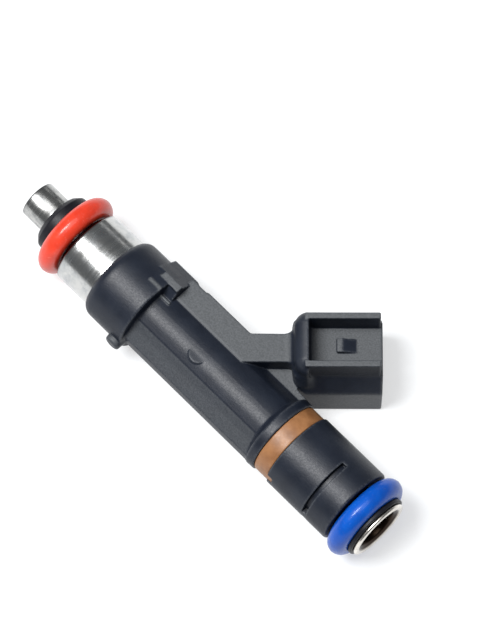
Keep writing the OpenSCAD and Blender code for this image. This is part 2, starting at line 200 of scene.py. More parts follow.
def soft_low(a, b, k):
    """The smaller of two distances, with a fillet about k wide."""
    h = np.maximum(k - np.abs(a - b), 0) / k
    return np.minimum(a, b) - h * h * k / 4


class Field:
    """A signed distance field on a grid, and a mask for grained texture and painted top light that
    says which kind of surface is near.
    """

    # Value where nothing has been added yet.
    FAR = 50
    # How far outside its own box a solid still counts, so that fillets and wear come out right.
    MARGIN = 1.2
    # The corners of a grid cell.
    CORNERS = [(c & 1, (c >> 1) & 1, (c >> 2) & 1) for c in range(8)]

    def __init__(self, low, high, step):
        self.step = step
        self.axes = [np.arange(a, b + step, step) for a, b in zip(low, high)]
        shape = [len(a) for a in self.axes]
        self.value = np.full(shape, self.FAR, np.float32)
        self.grain = np.zeros(shape, np.float32)

    def part(self, low, high):
        """The slices, and the x, y and z arrays, of the grid in a box and a margin round it."""
        cut = tuple(
            slice(*np.searchsorted(axis, (a - self.MARGIN, b + self.MARGIN)))
            for axis, a, b in zip(self.axes, low, high)
        )
        x, y, z = (axis[c] for axis, c in zip(self.axes, cut))
        return cut, x[:, None, None], y[None, :, None], z[None, None, :]

    def add(self, solid, low, high, k=0.3, grain=1):
        """Joins a solid that fits the box from low to high, with a fillet about k wide."""
        cut, x, y, z = self.part(low, high)
        d = solid(x, y, z).astype(np.float32)
        old = self.value[cut]
        self.grain[cut] = np.where(d < old, grain, self.grain[cut])
        self.value[cut] = soft_low(old, d, k)

    def remove(self, solid, low, high, k=0.15):
        """Cuts a solid that fits the box from low to high away, with edges about k wide."""
        cut, x, y, z = self.part(low, high)
        d = solid(x, y, z).astype(np.float32)
        self.value[cut] = -soft_low(-self.value[cut], d, k)

    def sample(self, grid, p):
        """Values between grid points, at an array of places."""
        at = [(p[:, i] - self.axes[i][0]) / self.step for i in range(3)]
        base = [np.clip(a.astype(int), 0, n - 2) for a, n in zip(at, grid.shape)]
        f = [np.clip(a - b, 0, 1) for a, b in zip(at, base)]
        total = 0
        for bits in self.CORNERS:
            weight = 1
            for bit, fraction in zip(bits, f):
                weight = weight * (fraction if bit else 1 - fraction)
            total = total + weight * grid[tuple(b + bit for b, bit in zip(base, bits))]
        return total

    def slope(self, p):
        """The field's gradient at an array of places."""
        reach = 0.8 * self.step
        out = np.zeros_like(p)
        for i in range(3):
            shift = np.zeros(3)
            shift[i] = reach
            ahead, behind = self.sample(self.value, p + shift), self.sample(self.value, p - shift)
            out[:, i] = (ahead - behind) / (2 * reach)
        return out

    def bend(self, p):
        """How sharply the surface bends outwards, from 0 to 1, for edge wear."""
        reach = 0.3
        total = -6 * self.sample(self.value, p)
        for i in range(3):
            shift = np.zeros(3)
            shift[i] = reach
            total = total + self.sample(self.value, p + shift)
            total = total + self.sample(self.value, p - shift)
        least, gain = 0.25, 0.45
        return np.clip(total / reach ** 2 * gain - least, 0, 1)

    def surface(self):
        """Points, four-sided faces and normals of the zero surface, by surface nets."""
        v = self.value
        inside = v < 0
        shape = [n - 1 for n in v.shape]
        count = np.zeros(shape, np.int8)
        for bits in self.CORNERS:
            count += inside[tuple(slice(b, b + n) for b, n in zip(bits, shape))]
        cells = np.argwhere((count > 0) & (count < 8))
        index = np.full(shape, -1, np.int64)
        index[tuple(cells.T)] = np.arange(len(cells))
        total, hits = np.zeros((len(cells), 3)), np.zeros(len(cells))
        for bits in self.CORNERS:
            for axis in range(3):
                if bits[axis]:
                    continue
                other = tuple(1 if i == axis else b for i, b in enumerate(bits))
                a = v[tuple((cells + bits).T)]
                b = v[tuple((cells + other).T)]
                crossed = (a < 0) != (b < 0)
                t = np.where(crossed, a / np.where(crossed, a - b, 1), 0)
                point = np.tile(np.array(bits, float), (len(cells), 1))
                point[:, axis] = t
                total += point * crossed[:, None]
                hits += crossed
        p = (cells + total / hits[:, None]) * self.step + [a[0] for a in self.axes]
        for _ in range(3):
            g = self.slope(p)
            move = self.sample(v, p) / np.maximum((g * g).sum(1), 0.2)
            p -= np.clip(move, -0.5 * self.step, 0.5 * self.step)[:, None] * g
        g = self.slope(p)
        normals = g / np.maximum(np.linalg.norm(g, axis=1), 1e-6)[:, None]
        quads = []
        for a in range(3):
            b, c = (a + 1) % 3, (a + 2) % 3
            side = np.moveaxis(inside, (a, b, c), (0, 1, 2))
            place = np.moveaxis(index, (a, b, c), (0, 1, 2))
            low, high = side[:-1, 1:-1, 1:-1], side[1:, 1:-1, 1:-1]
            i, j, k = np.nonzero(low != high)
            quad = np.stack(
                [place[i, j, k], place[i, j + 1, k], place[i, j + 1, k + 1], place[i, j, k + 1]], 1
            )
            reversed_side = ~low[i, j, k]
            quad[reversed_side] = quad[reversed_side][:, ::-1]
            quads.append(quad)
        return p, np.concatenate(quads), normals


def read_table(outline, c, t):
    """Distance to an outline for every pair of a value in c and a value in t.

    c is read from a fine table, which saves time where the same value comes back often.
    """
    step = 0.05
    grid = np.arange(c.min() - step, c.max() + 3 * step, step)
    table = outline_distance(outline, grid[:, None], t[None, :]).astype(np.float32)
    place = (c - grid[0]) / step
    low = place.astype(int)
    f = (place - low)[..., None].astype(np.float32)
    return table[low] * (1 - f) + table[low + 1] * f


def turned(corners):
    """A solid of revolution about X from (x, r, radius) corners."""
    outline = rounded(corners)[:, ::-1]

    def solid(x, y, z):
        r = np.sqrt(y[0] ** 2 + z[0] ** 2)
        return np.moveaxis(read_table(outline, r, x[:, 0, 0]), 2, 0)

    return solid


def slab(corners, z0, z1, radius):
    """A flat solid whose outline from above is (x, y, radius) corners."""
    outline = rounded(corners)

    def solid(x, y, z):
        plan = outline_distance(outline, x[:, :, 0], y[:, :, 0])[:, :, None]
        return meet(radius, plan, np.abs(z - (z0 + z1) / 2) - (z1 - z0) / 2)

    return solid


def beam(corners, x0, x1, radius):
    """A straight solid along X whose section is (y, z, radius) corners."""
    outline = rounded(corners)

    def solid(x, y, z):
        section = outline_distance(outline, y[0], z[0])[None]
        return meet(radius, section, np.abs(x - (x0 + x1) / 2) - (x1 - x0) / 2)

    return solid


def plug_uv(x, y):
    """Distances along and across the plug housing."""
    c, s = math.cos(PLUG_ANGLE), math.sin(PLUG_ANGLE)
    u = (x - ARM_X) * c + y * s
    v = y * c - (x - ARM_X) * s
    return u[:, :, 0], v[:, :, 0]


def plug_section(corners, u0, u1, radius):
    """A solid along the housing whose section is (v, z, radius) corners."""
    outline = rounded(corners)

    def solid(x, y, z):
        u, v = plug_uv(x, y)
        ends = np.abs(u - (u0 + u1) / 2) - (u1 - u0) / 2
        return meet(radius, read_table(outline, v, z[0, 0]), ends[:, :, None])

    return solid


def plug_profile(corners, v0, v1, radius):
    """A solid across the housing whose side view is (u, z, radius) corners."""
    outline = rounded(corners)

    def solid(x, y, z):
        u, v = plug_uv(x, y)
        sides = np.abs(v - (v0 + v1) / 2) - (v1 - v0) / 2
        return meet(radius, read_table(outline, u, z[0, 0]), sides[:, :, None])

    return solid


def plug_body(x, y, z):
    """The housing's outer form: section, rounded plan and rounded side view together."""
    u, v = plug_uv(x, y)
    rear_r, bottom_r, clear = 2.6, 1.4, 3
    half = [
        (RAIL_HALF, PLUG_FLOOR_Z, 0.25), (PLUG_HALF, PLUG_SIDE_Z, 0.9),
        (PLUG_HALF, PLUG_BOTTOM_Z, 0.45),
    ]
    section = rounded(half + [(-a, b, r) for a, b, r in reversed(half)])
    plan = rounded([
        (PLUG_U0, -PLUG_HALF, rear_r), (PLUG_U1, -PLUG_HALF, 0), (PLUG_U1, PLUG_HALF, 0),
        (PLUG_U0, PLUG_HALF, rear_r),
    ], 12)
    side = rounded([
        (PLUG_U0, PLUG_BOTTOM_Z, bottom_r), (PLUG_U1 + clear, PLUG_BOTTOM_Z, 0),
        (PLUG_U1 + clear, PLUG_FLOOR_Z + clear, 0), (PLUG_U0, PLUG_FLOOR_Z + clear, 0),
    ], 10)
    flat = z[0, 0]
    body = meet(
        0.22,
        read_table(section, v, flat),
        outline_distance(plan, u, v)[:, :, None] + 0 * z,
        read_table(side, u, flat),
    )
    return meet(0.5, body, (u - PLUG_U1)[:, :, None] + 0 * z)


def plug_hood(x, y, z):
    """The hood that closes the back of the rails, sharp only on the side towards them."""
    u, v = plug_uv(x, y)
    root = 1.8
    low = PLUG_FLOOR_Z - root
    plane = 0 * z
    dome = meet(
        HOOD_R,
        (np.abs(v) - HOOD_HALF)[:, :, None] + plane,
        (PLUG_U0 - u)[:, :, None] + plane,
        z - RAIL_TOP_Z + 0 * u[:, :, None],
    )
    face = (u - PLUG_U0 - HOOD_LEN)[:, :, None] + plane
    return meet(0.25, dome, face, low - z + 0 * face)


def plug_rails(x, y, z):
    """The two latch rails, which start inside the hood and inside the housing's floor."""
    u, v = plug_uv(x, y)
    overlap, root = 0.6, 0.9
    u0, u1 = PLUG_U0 + HOOD_LEN - overlap, PLUG_U1 - RAIL_END
    sides = np.abs(np.abs(v) - RAIL_HALF + RAIL_T / 2) - RAIL_T / 2
    ends = np.maximum(u0 - u, u - u1)
    heights = np.maximum(z - RAIL_TOP_Z, PLUG_FLOOR_Z - root - z)
    return meet(0.14, sides[:, :, None] + 0 * z, ends[:, :, None] + 0 * z,
                heights + 0 * u[:, :, None])


# ---------------------------------------------------------------- meshes
def new_object(name, points, faces, material, normals=None, masks=None):
    """A smooth-shaded mesh object from points in millimetres."""
    mesh = bpy.data.meshes.new(name)
    points = np.asarray(points, np.float32) * MM
    faces = np.asarray(faces, np.int32)
    sides = faces.shape[1]
    mesh.vertices.add(len(points))
    mesh.vertices.foreach_set("co", points.ravel())
    mesh.loops.add(faces.size)
    mesh.loops.foreach_set("vertex_index", faces.ravel())
    mesh.polygons.add(len(faces))
    mesh.polygons.foreach_set("loop_start", np.arange(0, faces.size, sides, dtype=np.int32))
    mesh.polygons.foreach_set("loop_total", np.full(len(faces), sides, np.int32))
    mesh.update(calc_edges=True)
    mesh.validate()
    mesh.polygons.foreach_set("use_smooth", np.ones(len(mesh.polygons), bool))
    for key, values in (masks or {}).items():
        layer = mesh.attributes.new(key, "FLOAT", "POINT")
        layer.data.foreach_set("value", np.asarray(values, np.float32))
    if normals is not None:
        mesh.normals_split_custom_set_from_vertices(np.asarray(normals, np.float32))
    mesh.materials.append(material)
    obj = bpy.data.objects.new(name, mesh)
    bpy.context.scene.collection.objects.link(obj)
    return obj


def field_object(name, field, material):
    """The surface of a field, with masks for worn edges, grained flats with painted top light and
    painted shade on side faces.

    Grained texture, and the painted top light that comes with it, shows on faces that are level to
    within about 60 degrees, and fully on the flattest.
    Faces that stand up get painted shade as a weaker reflection, least so below the axis.
    """
    points, faces, normals = field.surface()
    level = np.abs(normals[:, 2])
    raised = np.clip((points[:, 2] + 1.0) / 2.5, 0, 1)
    masks = {
        "edge": field.bend(points),
        # Weighted by how level the face is: graining plus painted top light, so level faces come
        # out lighter.
        "grain": field.sample(field.grain, points) * np.clip((level - 0.5) / 0.47, 0, 1),
        # Painted shade: upright faces reflect less, more so the higher they stand.
        "painted_shade": np.clip(1 - level / 0.55, 0, 1) * (0.3 + 0.7 * raised),
    }
    return new_object(name, points, faces, material, normals, masks)


def lathe_object(name, corners, material, turns=160):
    """A ring turned about X from (x, r, radius) corners, in that many steps round it."""
    arc_steps, sharp_angle = 5, 40
    outline = rounded(corners, arc_steps)
    area = sum(a[0] * b[1] - b[0] * a[1] for a, b in zip(outline, np.roll(outline, -1, axis=0)))
    if area < 0:
        outline = outline[::-1]
    angle = np.arange(turns) * 2 * math.pi / turns
    x = np.repeat(outline[:, 0][None], turns, 0)
    r = np.repeat(outline[:, 1][None], turns, 0)
    points = np.stack([x, r * np.sin(angle)[:, None], r * np.cos(angle)[:, None]], 2)
    n = len(outline)
    i, j = np.meshgrid(np.arange(turns), np.arange(n), indexing="ij")
    i2, j2 = (i + 1) % turns, (j + 1) % n
    faces = np.stack([i * n + j, i * n + j2, i2 * n + j2, i2 * n + j], 2).reshape(-1, 4)
    obj = new_object(name, points.reshape(-1, 3), faces, material)
    sharpen(obj, sharp_angle)
    return obj


def sharpen(obj, degrees):
    """Marks the edges that turn by more than that angle, so that smooth shading stops there."""
    mesh = obj.data
    polygons = len(mesh.polygons)
    normal = np.zeros(polygons * 3, np.float32)
    mesh.polygons.foreach_get("normal", normal)
    normal = normal.reshape(-1, 3)
    loops = np.zeros(len(mesh.loops), np.int32)
    mesh.loops.foreach_get("edge_index", loops)
    size = np.zeros(polygons, np.int32)
    mesh.polygons.foreach_get("loop_total", size)
    owner = np.repeat(np.arange(polygons), size)
    order = np.argsort(loops, kind="stable")
    edge, face = loops[order], owner[order]
    pair = np.nonzero(edge[1:] == edge[:-1])[0]
    cosine = (normal[face[pair]] * normal[face[pair + 1]]).sum(1)
    sharp = np.zeros(len(mesh.edges), bool)
    sharp[edge[pair]] = cosine < math.cos(math.radians(degrees))
    layer = mesh.attributes.new("sharp_edge", "BOOLEAN", "EDGE")
    layer.data.foreach_set("value", sharp)


# ---------------------------------------------------------------- materials
class Shader:
    """A Principled material, with short ways to add the nodes that drive it."""

    def __init__(self, name, **constants):
        self.material = bpy.data.materials.new(name)
        self.material.use_nodes = True
        self.tree = self.material.node_tree
        self.bsdf = next(n for n in self.tree.nodes if n.type == "BSDF_PRINCIPLED")
        for key, value in constants.items():
            self.bsdf.inputs[key.replace("_", " ")].default_value = value
        self.place = self.node("ShaderNodeTexCoord").outputs["Object"]

    def node(self, kind, **settings):
        """A new node with those settings."""
        made = self.tree.nodes.new(kind)
        for key, value in settings.items():
            setattr(made, key, value)
        return made

    def feed(self, socket, value):
        """Links an output to a socket, or sets the socket to a constant."""
        if isinstance(value, bpy.types.NodeSocket):
            self.tree.links.new(value, socket)
        else:
            socket.default_value = value

    def math(self, operation, a, b=0.0):
        made = self.node("ShaderNodeMath", operation=operation)
        self.feed(made.inputs[0], a)
        self.feed(made.inputs[1], b)
        return made.outputs[0]

    def axes(self):
        """The x, y and z of the place, in metres."""
        split = self.node("ShaderNodeSeparateXYZ")
        self.feed(split.inputs[0], self.place)
        return split.outputs

    def scaled(self, x, y=None, z=None):
        """Coordinates in millimetres times a stretch along each axis, or one stretch for all."""
        made = self.node("ShaderNodeMapping")
        self.feed(made.inputs["Vector"], self.place)
        made.inputs["Scale"].default_value = (x / MM, (y or x) / MM, (z or x) / MM)
        return made.outputs[0]

    def around(self, along, about):
        """Coordinates along X and about X, for marks left by turning."""
        x, y, z = self.axes()
        angle = self.math("ARCTAN2", y, z)
        made = self.node("ShaderNodeCombineXYZ")
        self.feed(made.inputs[0], self.math("MULTIPLY", x, along / MM))
        self.feed(made.inputs[1], self.math("MULTIPLY", self.math("SINE", angle), about))
        self.feed(made.inputs[2], self.math("MULTIPLY", self.math("COSINE", angle), about))
        return made.outputs[0]

    def noise(self, place, detail=3.0, rough=0.55):
        made = self.node("ShaderNodeTexNoise")
        self.feed(made.inputs["Vector"], place)
        made.inputs["Scale"].default_value = 1.0
        made.inputs["Detail"].default_value = detail
        made.inputs["Roughness"].default_value = rough
        return made.outputs["Fac"]

    def remap(self, value, low, high, to_low=0.0, to_high=1.0):
        """A value's range from low to high stretched to another range, and clamped to it."""
        made = self.node("ShaderNodeMapRange")
        self.feed(made.inputs[0], value)
        for i, number in enumerate((low, high, to_low, to_high)):
            made.inputs[i + 1].default_value = number
        return made.outputs[0]

    def blend(self, fac, a, b):
        """Colour a where fac is 0 and colour b where it is 1."""
        made = self.node("ShaderNodeMix", data_type="RGBA")
        self.feed(made.inputs[0], fac)
        self.feed(made.inputs[6], a if isinstance(a, bpy.types.NodeSocket) else (*a, 1))
        self.feed(made.inputs[7], b if isinstance(b, bpy.types.NodeSocket) else (*b, 1))
        return made.outputs[2]

    def mask(self, name):
        """A number that the mesh holds for each of its points."""
        return self.node("ShaderNodeAttribute", attribute_name=name).outputs["Fac"]

    def relief(self, *layers):
        """Bump from (height, depth in millimetres) layers."""
        normal = None
        for height, depth in layers:
            made = self.node("ShaderNodeBump")
            made.inputs["Distance"].default_value = depth * MM
            self.feed(made.inputs["Height"], height)
            if normal is not None:
                self.feed(made.inputs["Normal"], normal)
            normal = made.outputs["Normal"]
        self.feed(self.bsdf.inputs["Normal"], normal)

    def set(self, **values):
        """Sets or links the shader's own sockets, and gives the finished material."""
        for key, value in values.items():
            self.feed(self.bsdf.inputs[key.replace("_", " ")], value)
        return self.material


def black_nylon(name):
    """Glass-filled nylon: smooth on turned faces, finely grained and painted lighter as painted
    top light on flat ones, worn at edges, and with painted shade on upright faces.
    """
    s = Shader(name, IOR=1.5)
    cloud = s.noise(s.scaled(0.28), detail=4)
    speck = s.noise(s.scaled(4.2), detail=2)
    fibre = s.noise(s.scaled(1.4, 5.5, 5.5), detail=2)
    grain, edge = s.mask("grain"), s.mask("edge")
    smooth = s.blend(s.remap(cloud, 0.35, 0.65), (0.007, 0.010, 0.018), (0.012, 0.016, 0.026))
    # Grained flats are painted much lighter than smooth faces: their texture plus painted top
    # light on level faces.
    flat = s.blend(s.remap(speck, 0.3, 0.7), (0.056, 0.061, 0.066), (0.094, 0.100, 0.108))
    colour = s.blend(grain, smooth, flat)
    worn = s.math("MULTIPLY", edge, s.remap(fibre, 0.35, 0.7, 0.0, 0.5))
    colour = s.blend(worn, colour, (0.10, 0.108, 0.12))
    rough = s.math("ADD", s.remap(grain, 0, 1, 0.42, 0.58), s.remap(speck, 0.3, 0.7, -0.05, 0.06))
    pits = s.math("MULTIPLY", speck, s.remap(grain, 0, 1, 0.35, 1.0))
    s.relief((cloud, 0.05), (pits, 0.035), (fibre, 0.008))
    # The painted shade mask turns the reflection down on upright faces.
    return s.set(Base_Color=colour, Roughness=rough,
                 Specular_IOR_Level=s.remap(s.mask("painted_shade"), 0, 1, 0.32, 0.05))


def turned_steel(name, light, dark, rough, marks=9.0, smear=0.5, bore=0.0, soot_and_shade=None):
    """Machined steel with rings left by the tool, smears and fine scratches along the axis.

    It has marks rings to the millimetre, and smear sets how dark its smears are. Closer to the
    axis than bore, in millimetres, it is painted dark as painted shade inside the bore. The last
    argument is the x where it is painted black and the x where it is clean: carbon on the nozzle's
    tip, and painted shade at the shell's front behind the O-ring.
    """
    s = Shader(name, Metallic=1.0)
    rings = s.noise(s.around(marks, 0.6), detail=3)
    patch = s.noise(s.around(0.5, 2.4), detail=5, rough=0.65)
    scratch = s.noise(s.around(0.35, 26.0), detail=3)
    tone = s.math("MULTIPLY", s.remap(patch, 0.42, 0.68), smear)
    colour = s.blend(tone, light, dark)
    colour = s.blend(s.remap(scratch, 0.62, 0.78, 0.0, 0.45), colour, dark)
    x, y, z = s.axes()
    # Painted shade inside the bore: the steel is painted dark towards the axis.
    if bore:
        squares = [s.math("POWER", axis, 2.0) for axis in (y, z)]
        radius = s.math("SQRT", s.math("ADD", *squares))
        inside = s.remap(radius, (bore - 0.3) * MM, bore * MM, 1.0, 0.0)
        colour = s.blend(inside, colour, (0.030, 0.020, 0.014))
    # Painted black towards the front end: carbon on the nozzle's tip, painted shade where the
    # O-ring sits against the shell's front.
    if soot_and_shade:
        black = s.remap(x, soot_and_shade[0] * MM, soot_and_shade[1] * MM, 1.0, 0.0)
        colour = s.blend(black, colour, (0.020, 0.020, 0.024))
    value = s.math("ADD", s.remap(patch, 0.35, 0.7, rough, rough + 0.14),
                   s.remap(rings, 0.3, 0.7, -0.04, 0.05))
    s.relief((rings, 0.002), (patch, 0.016), (scratch, 0.003))
    return s.set(Base_Color=colour, Roughness=value)


def seal_rubber(name, deep, pale, film, coat):
    """Smooth moulded rubber. film is how much dust lies on it, and coat its gloss of oil."""
    s = Shader(name, IOR=1.48, Specular_IOR_Level=0.5 * (coat + film), Coat_Weight=coat,
               Coat_Roughness=0.12)
    cloud = s.noise(s.scaled(0.35), detail=4)
    dust = s.noise(s.scaled(3.0), detail=4, rough=0.7)
    colour = s.blend(s.remap(cloud, 0.35, 0.7), deep, pale)
    colour = s.blend(s.remap(dust, 0.6, 0.85, 0.0, film), colour, (0.75, 0.7, 0.66))
    s.relief((cloud, 0.06), (dust, 0.006))
    return s.set(Base_Color=colour, Roughness=s.remap(dust, 0.3, 0.8, 0.3, 0.5))


def moulded(name, low, high, rough=0.45, gloss=0.5):
    """Plain moulded plastic, between two close colours."""
    s = Shader(name, IOR=1.5, Specular_IOR_Level=gloss)
    cloud = s.noise(s.scaled(0.5), detail=4)
    speck = s.noise(s.scaled(3.5), detail=3)
    s.relief((cloud, 0.03), (speck, 0.01))
    return s.set(Base_Color=s.blend(s.remap(cloud, 0.35, 0.68), low, high),
                 Roughness=s.remap(speck, 0.3, 0.7, rough - 0.06, rough + 0.08))


def wound_copper(name):
    """Enamelled wire, seen as close turns side by side."""
    s = Shader(name, Metallic=1.0)
    wave = s.node("ShaderNodeTexWave", bands_direction="X")
    s.feed(wave.inputs["Vector"], s.scaled(1))
    wave.inputs["Scale"].default_value = 1.1
    wave.inputs["Distortion"].default_value = 0.4
    cloud = s.noise(s.scaled(0.8))
    s.relief((wave.outputs["Fac"], 0.12), (cloud, 0.01))
    return s.set(Base_Color=s.blend(cloud, (0.50, 0.16, 0.06), (0.72, 0.30, 0.13)),
                 Roughness=s.remap(wave.outputs["Fac"], 0, 1, 0.42, 0.25))


def woven_mesh(name):
    """Fine woven filter cloth."""
    s = Shader(name)
    heights = []
    for direction in ("X", "DIAGONAL"):
        wave = s.node("ShaderNodeTexWave", bands_direction=direction)
        s.feed(wave.inputs["Vector"], s.scaled(1))
        wave.inputs["Scale"].default_value = 2.2
        heights.append(wave.outputs["Fac"])
    weave = s.math("MULTIPLY", *heights)
    s.relief((weave, 0.05))
    return s.set(Base_Color=s.blend(weave, (0.32, 0.31, 0.27), (0.78, 0.76, 0.70)),
                 Roughness=s.remap(weave, 0, 1, 0.7, 0.5))


body_black = black_nylon("black_nylon")
# Its front is painted black: painted shade where the nozzle's O-ring sits against the shell.
shell_steel = turned_steel("bright_steel", (0.57, 0.57, 0.555), (0.32, 0.34, 0.36), 0.15,
                           marks=7, smear=0.75, soot_and_shade=(SHELL_X0 + 0.2, SHELL_X0 + 0.6))
tip_steel = turned_steel("machined_steel", (0.50, 0.50, 0.485), (0.17, 0.175, 0.18), 0.20,
                         marks=11, smear=0.95, soot_and_shade=(TIP_X + 0.05, TIP_X + 0.3))
# Its bore is painted dark: painted shade inside the inlet tube.
tube_steel = turned_steel("drawn_steel", (0.78, 0.74, 0.68), (0.42, 0.38, 0.34), 0.22,
                          marks=5, bore=FLARE_R - LIP_T)
hard_steel = turned_steel("hardened_steel", (0.50, 0.50, 0.50), (0.30, 0.30, 0.31), 0.24)
iron = turned_steel("core_iron", (0.42, 0.42, 0.43), (0.24, 0.24, 0.25), 0.34)
spring_steel = turned_steel("spring_steel", (0.50, 0.48, 0.45), (0.28, 0.26, 0.24), 0.28)
adjuster_steel = turned_steel("adjuster_steel", (0.55, 0.52, 0.48), (0.34, 0.31, 0.28), 0.3)
tinned = turned_steel("tinned_brass", (0.74, 0.70, 0.62), (0.52, 0.44, 0.32), 0.26,
                      marks=3, smear=0.6)
brass = turned_steel("filter_brass", (0.72, 0.52, 0.24), (0.42, 0.28, 0.12), 0.26, marks=6)
orange = seal_rubber("orange_rubber", (0.58, 0.034, 0.013), (0.74, 0.052, 0.022),
                     film=0.25, coat=0.35)
blue = seal_rubber("blue_rubber", (0.0003, 0.062, 0.37), (0.0005, 0.088, 0.48),
                   film=0.1, coat=0.3)
brown = moulded("brown_nylon", (0.22, 0.092, 0.032), (0.33, 0.150, 0.058))
dark_ring = moulded("retainer_plastic", (0.005, 0.005, 0.008), (0.012, 0.012, 0.016),
                    rough=0.42, gloss=0.2)
ivory = moulded("bobbin_nylon", (0.62, 0.56, 0.44), (0.75, 0.70, 0.58))
filter_white = moulded("filter_nylon", (0.60, 0.58, 0.52), (0.74, 0.72, 0.66))


# ---------------------------------------------------------------- pieces
def stand_in(obj, node):
    """Shows obj in place of a CAD node."""
    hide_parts(node)
    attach(obj, "injector")
    return obj


def moulded_body():
    """The black overmoulding: collar, middle body, terminal bar, arm, web and plug housing."""
    low = (BODY_X0 - 0.6, -8.9, PLUG_BOTTOM_Z - 0.6)
    high = (RING_X1 + 3.8, 25.0, RAIL_TOP_Z + 0.6)
    f = Field(low, high, VOXEL)
    f.add(turned([
        (BODY_X0, SOLID, 0), (BODY_X0, COLLAR_R, 1.7), (COLLAR_X1, COLLAR_R, 0.3),
        (COLLAR_X1, SOLID, 0),
    ]), (low[0], -8, -8), (COLLAR_X1, 8, 8), grain=0)
    f.add(turned([
        (COLLAR_X1 - 2, SOLID, 0), (COLLAR_X1 - 2, MAIN_R, 0), (SHOULDER_X - 0.9, MAIN_R, 0.5),
        (SHOULDER_X, SLEEVE_R, 0.35), (RING_X0, SLEEVE_R, 0.15), (RING_X0, MAIN_R, 0),
        (RING_X1 + 3, MAIN_R, 0.2), (RING_X1 + 3, SOLID, 0),
    ]), (COLLAR_X1 - 2, -7, -7), (RING_X1 + 3, 7, 7), grain=0)
    root, corner = MAIN_R * 0.95, (3.2, 3.7)
    matte = [
        (0, root, 0), (-corner[0], corner[1], 0.5), (-6.2, 1.2, 0.35), (-6.2, -1.2, 0.35),
        (-corner[0], -corner[1], 0.5), (0, -root, 0),
    ]
    smooth = [
        (0, -root, 0), (corner[0], -corner[1], 0.5), (5.5, -WEB_Z, 0.1), (5.5, WEB_Z, 0.1),
        (corner[0], corner[1], 0.5), (0, root, 0),
    ]
    # The matte flank is grained and so gets painted top light; the smooth one gets neither.
    for flank, grain in ((matte, 1), (smooth, 0)):
        f.add(beam(flank, COLLAR_X1 - 1, SHOULDER_X + 0.4, 0.1),
              (COLLAR_X1 - 1, -7, -5), (SHOULDER_X + 0.4, 7, 5), 0.35, grain)
    shape_terminal_run(f)
    shape_plug(f)

    nub_y0, nub_y1 = -8.0, -5.6

    def nub(x, y, z):
        across = np.sqrt((x - NUB_X) ** 2 + (z - NUB_Z) ** 2) - NUB_R
        return meet(0.45, across + 0 * y, np.maximum(nub_y0 - y, y - nub_y1) + 0 * x)

    f.add(nub, (NUB_X - NUB_R, nub_y0, NUB_Z - NUB_R), (NUB_X + NUB_R, nub_y1, NUB_Z + NUB_R),
          0.25)
    past_end = RING_X1 + 12
    f.remove(turned([
        (0, SOLID, 0), (0, SHELL_R, 0), (SHELL_X1, SHELL_R, 0), (SHELL_X1, TUBE_R, 0),
        (past_end, TUBE_R, 0), (past_end, SOLID, 0),
    ]), low, high, 0.02)

    mark_z0 = 3.4

    def mark(x, y, z):
        across = np.sqrt((x - MARK_X) ** 2 + (y - MARK_Y) ** 2) - MARK_R
        return meet(0.05, across + 0 * z, np.maximum(z - MARK_Z, mark_z0 - z) + 0 * across)

    f.add(mark, (MARK_X - MARK_R, MARK_Y - MARK_R, mark_z0),
          (MARK_X + MARK_R, MARK_Y + MARK_R, MARK_Z), 0.06, grain=0.15)
    return field_object("moulded_body", f, body_black)


def shape_terminal_run(f):
    """Block, ledges, bar, arm and web, which carry the terminals to the housing."""
    block = [
        (1.7, 4.5, 0), (3.15, 5.85, 0.15), (4.3, 5.85, 0.2), (7.5, 2.2, 0.6), (7.8, 0, 0.4),
        (7.5, -2.2, 0.6), (4.3, -5.85, 0.2), (3.15, -5.85, 0.15), (1.7, -4.5, 0),
    ]
    f.add(beam(block, BLOCK_X0, BLOCK_X1, 0.12), (BLOCK_X0, 1, -6), (BLOCK_X1, 8, 6), 0.12,
          grain=0)
    ledges = (
        (5.0, 6.98, 0.1, [
            (14.6, 0.9, 0), (COLLAR_X1, 0.9, 0), (COLLAR_X1, 1.85, 0), (14.6, 1.85, 0),
        ]),
        (5.0, 6.38, 0.08, [
            (15.25, 3.15, 0), (BLOCK_X1, 3.05, 0), (BLOCK_X1, 4.25, 0), (15.4, 4.3, 0),
        ]),
        (4.0, 5.0, 0.1, [
            (16.6, 1.15, 0), (19.15, 1.15, 0), (19.15, 1.6, 0), (16.6, 1.6, 0),
        ]),
    )
    for side in (1, -1):
        for bottom, top, fillet, outline in ledges:
            z0, z1 = sorted((side * bottom, side * top))
            xs, ys, _ = zip(*outline)
            f.add(slab(outline, z0, z1, 0.08), (min(xs), min(ys), z0), (max(xs), max(ys), z1),
                  fillet)
    c, s = math.cos(PLUG_ANGLE), math.sin(PLUG_ANGLE)
    bend_x = ARM_X + (BAR_Y1 * c - ARM_HALF) / s
    reach = PLUG_U0 + 1

    def arm_point(u, v):
        return (ARM_X + u * c - v * s, u * s + v * c)

    start_x = ARM_X + (BAR_Y0 * c + ARM_HALF) / s
    bar_x0, step_x = BLOCK_X1 - 0.5, 21.7
    run = [
        (bar_x0, BAR_Y0, 0), (start_x, BAR_Y0, 0.2),
        (*arm_point(reach, -ARM_HALF), 0), (*arm_point(reach, ARM_HALF), 0),
        (bend_x, BAR_Y1 + 0.05, 0.5), (step_x, BAR_Y1 + 0.05, 0.1),
        (step_x - 0.3, BAR_Y1 - 0.15, 0.1), (bar_x0, BAR_Y1 - 0.15, 0),
    ]
    f.add(slab(run, -BAR_Z, BAR_Z, 0.22), (bar_x0, BAR_Y0, -BAR_Z), (40, 14, BAR_Z), 0.15)
    web = [
        (ARM_X + 2, 0, 0), (SHOULDER_X + 0.4, 0, 0), (SHOULDER_X + 0.4, 6.4, 0.3),
        (ARM_X + 14, 6.6, 0), (ARM_X + 10, 12, 0), (ARM_X + 2, 3, 0),
    ]
    f.add(slab(web, -WEB_Z, WEB_Z, 0.15), (ARM_X + 2, 0, -WEB_Z),
          (SHOULDER_X + 0.4, 12, WEB_Z), 0.15)


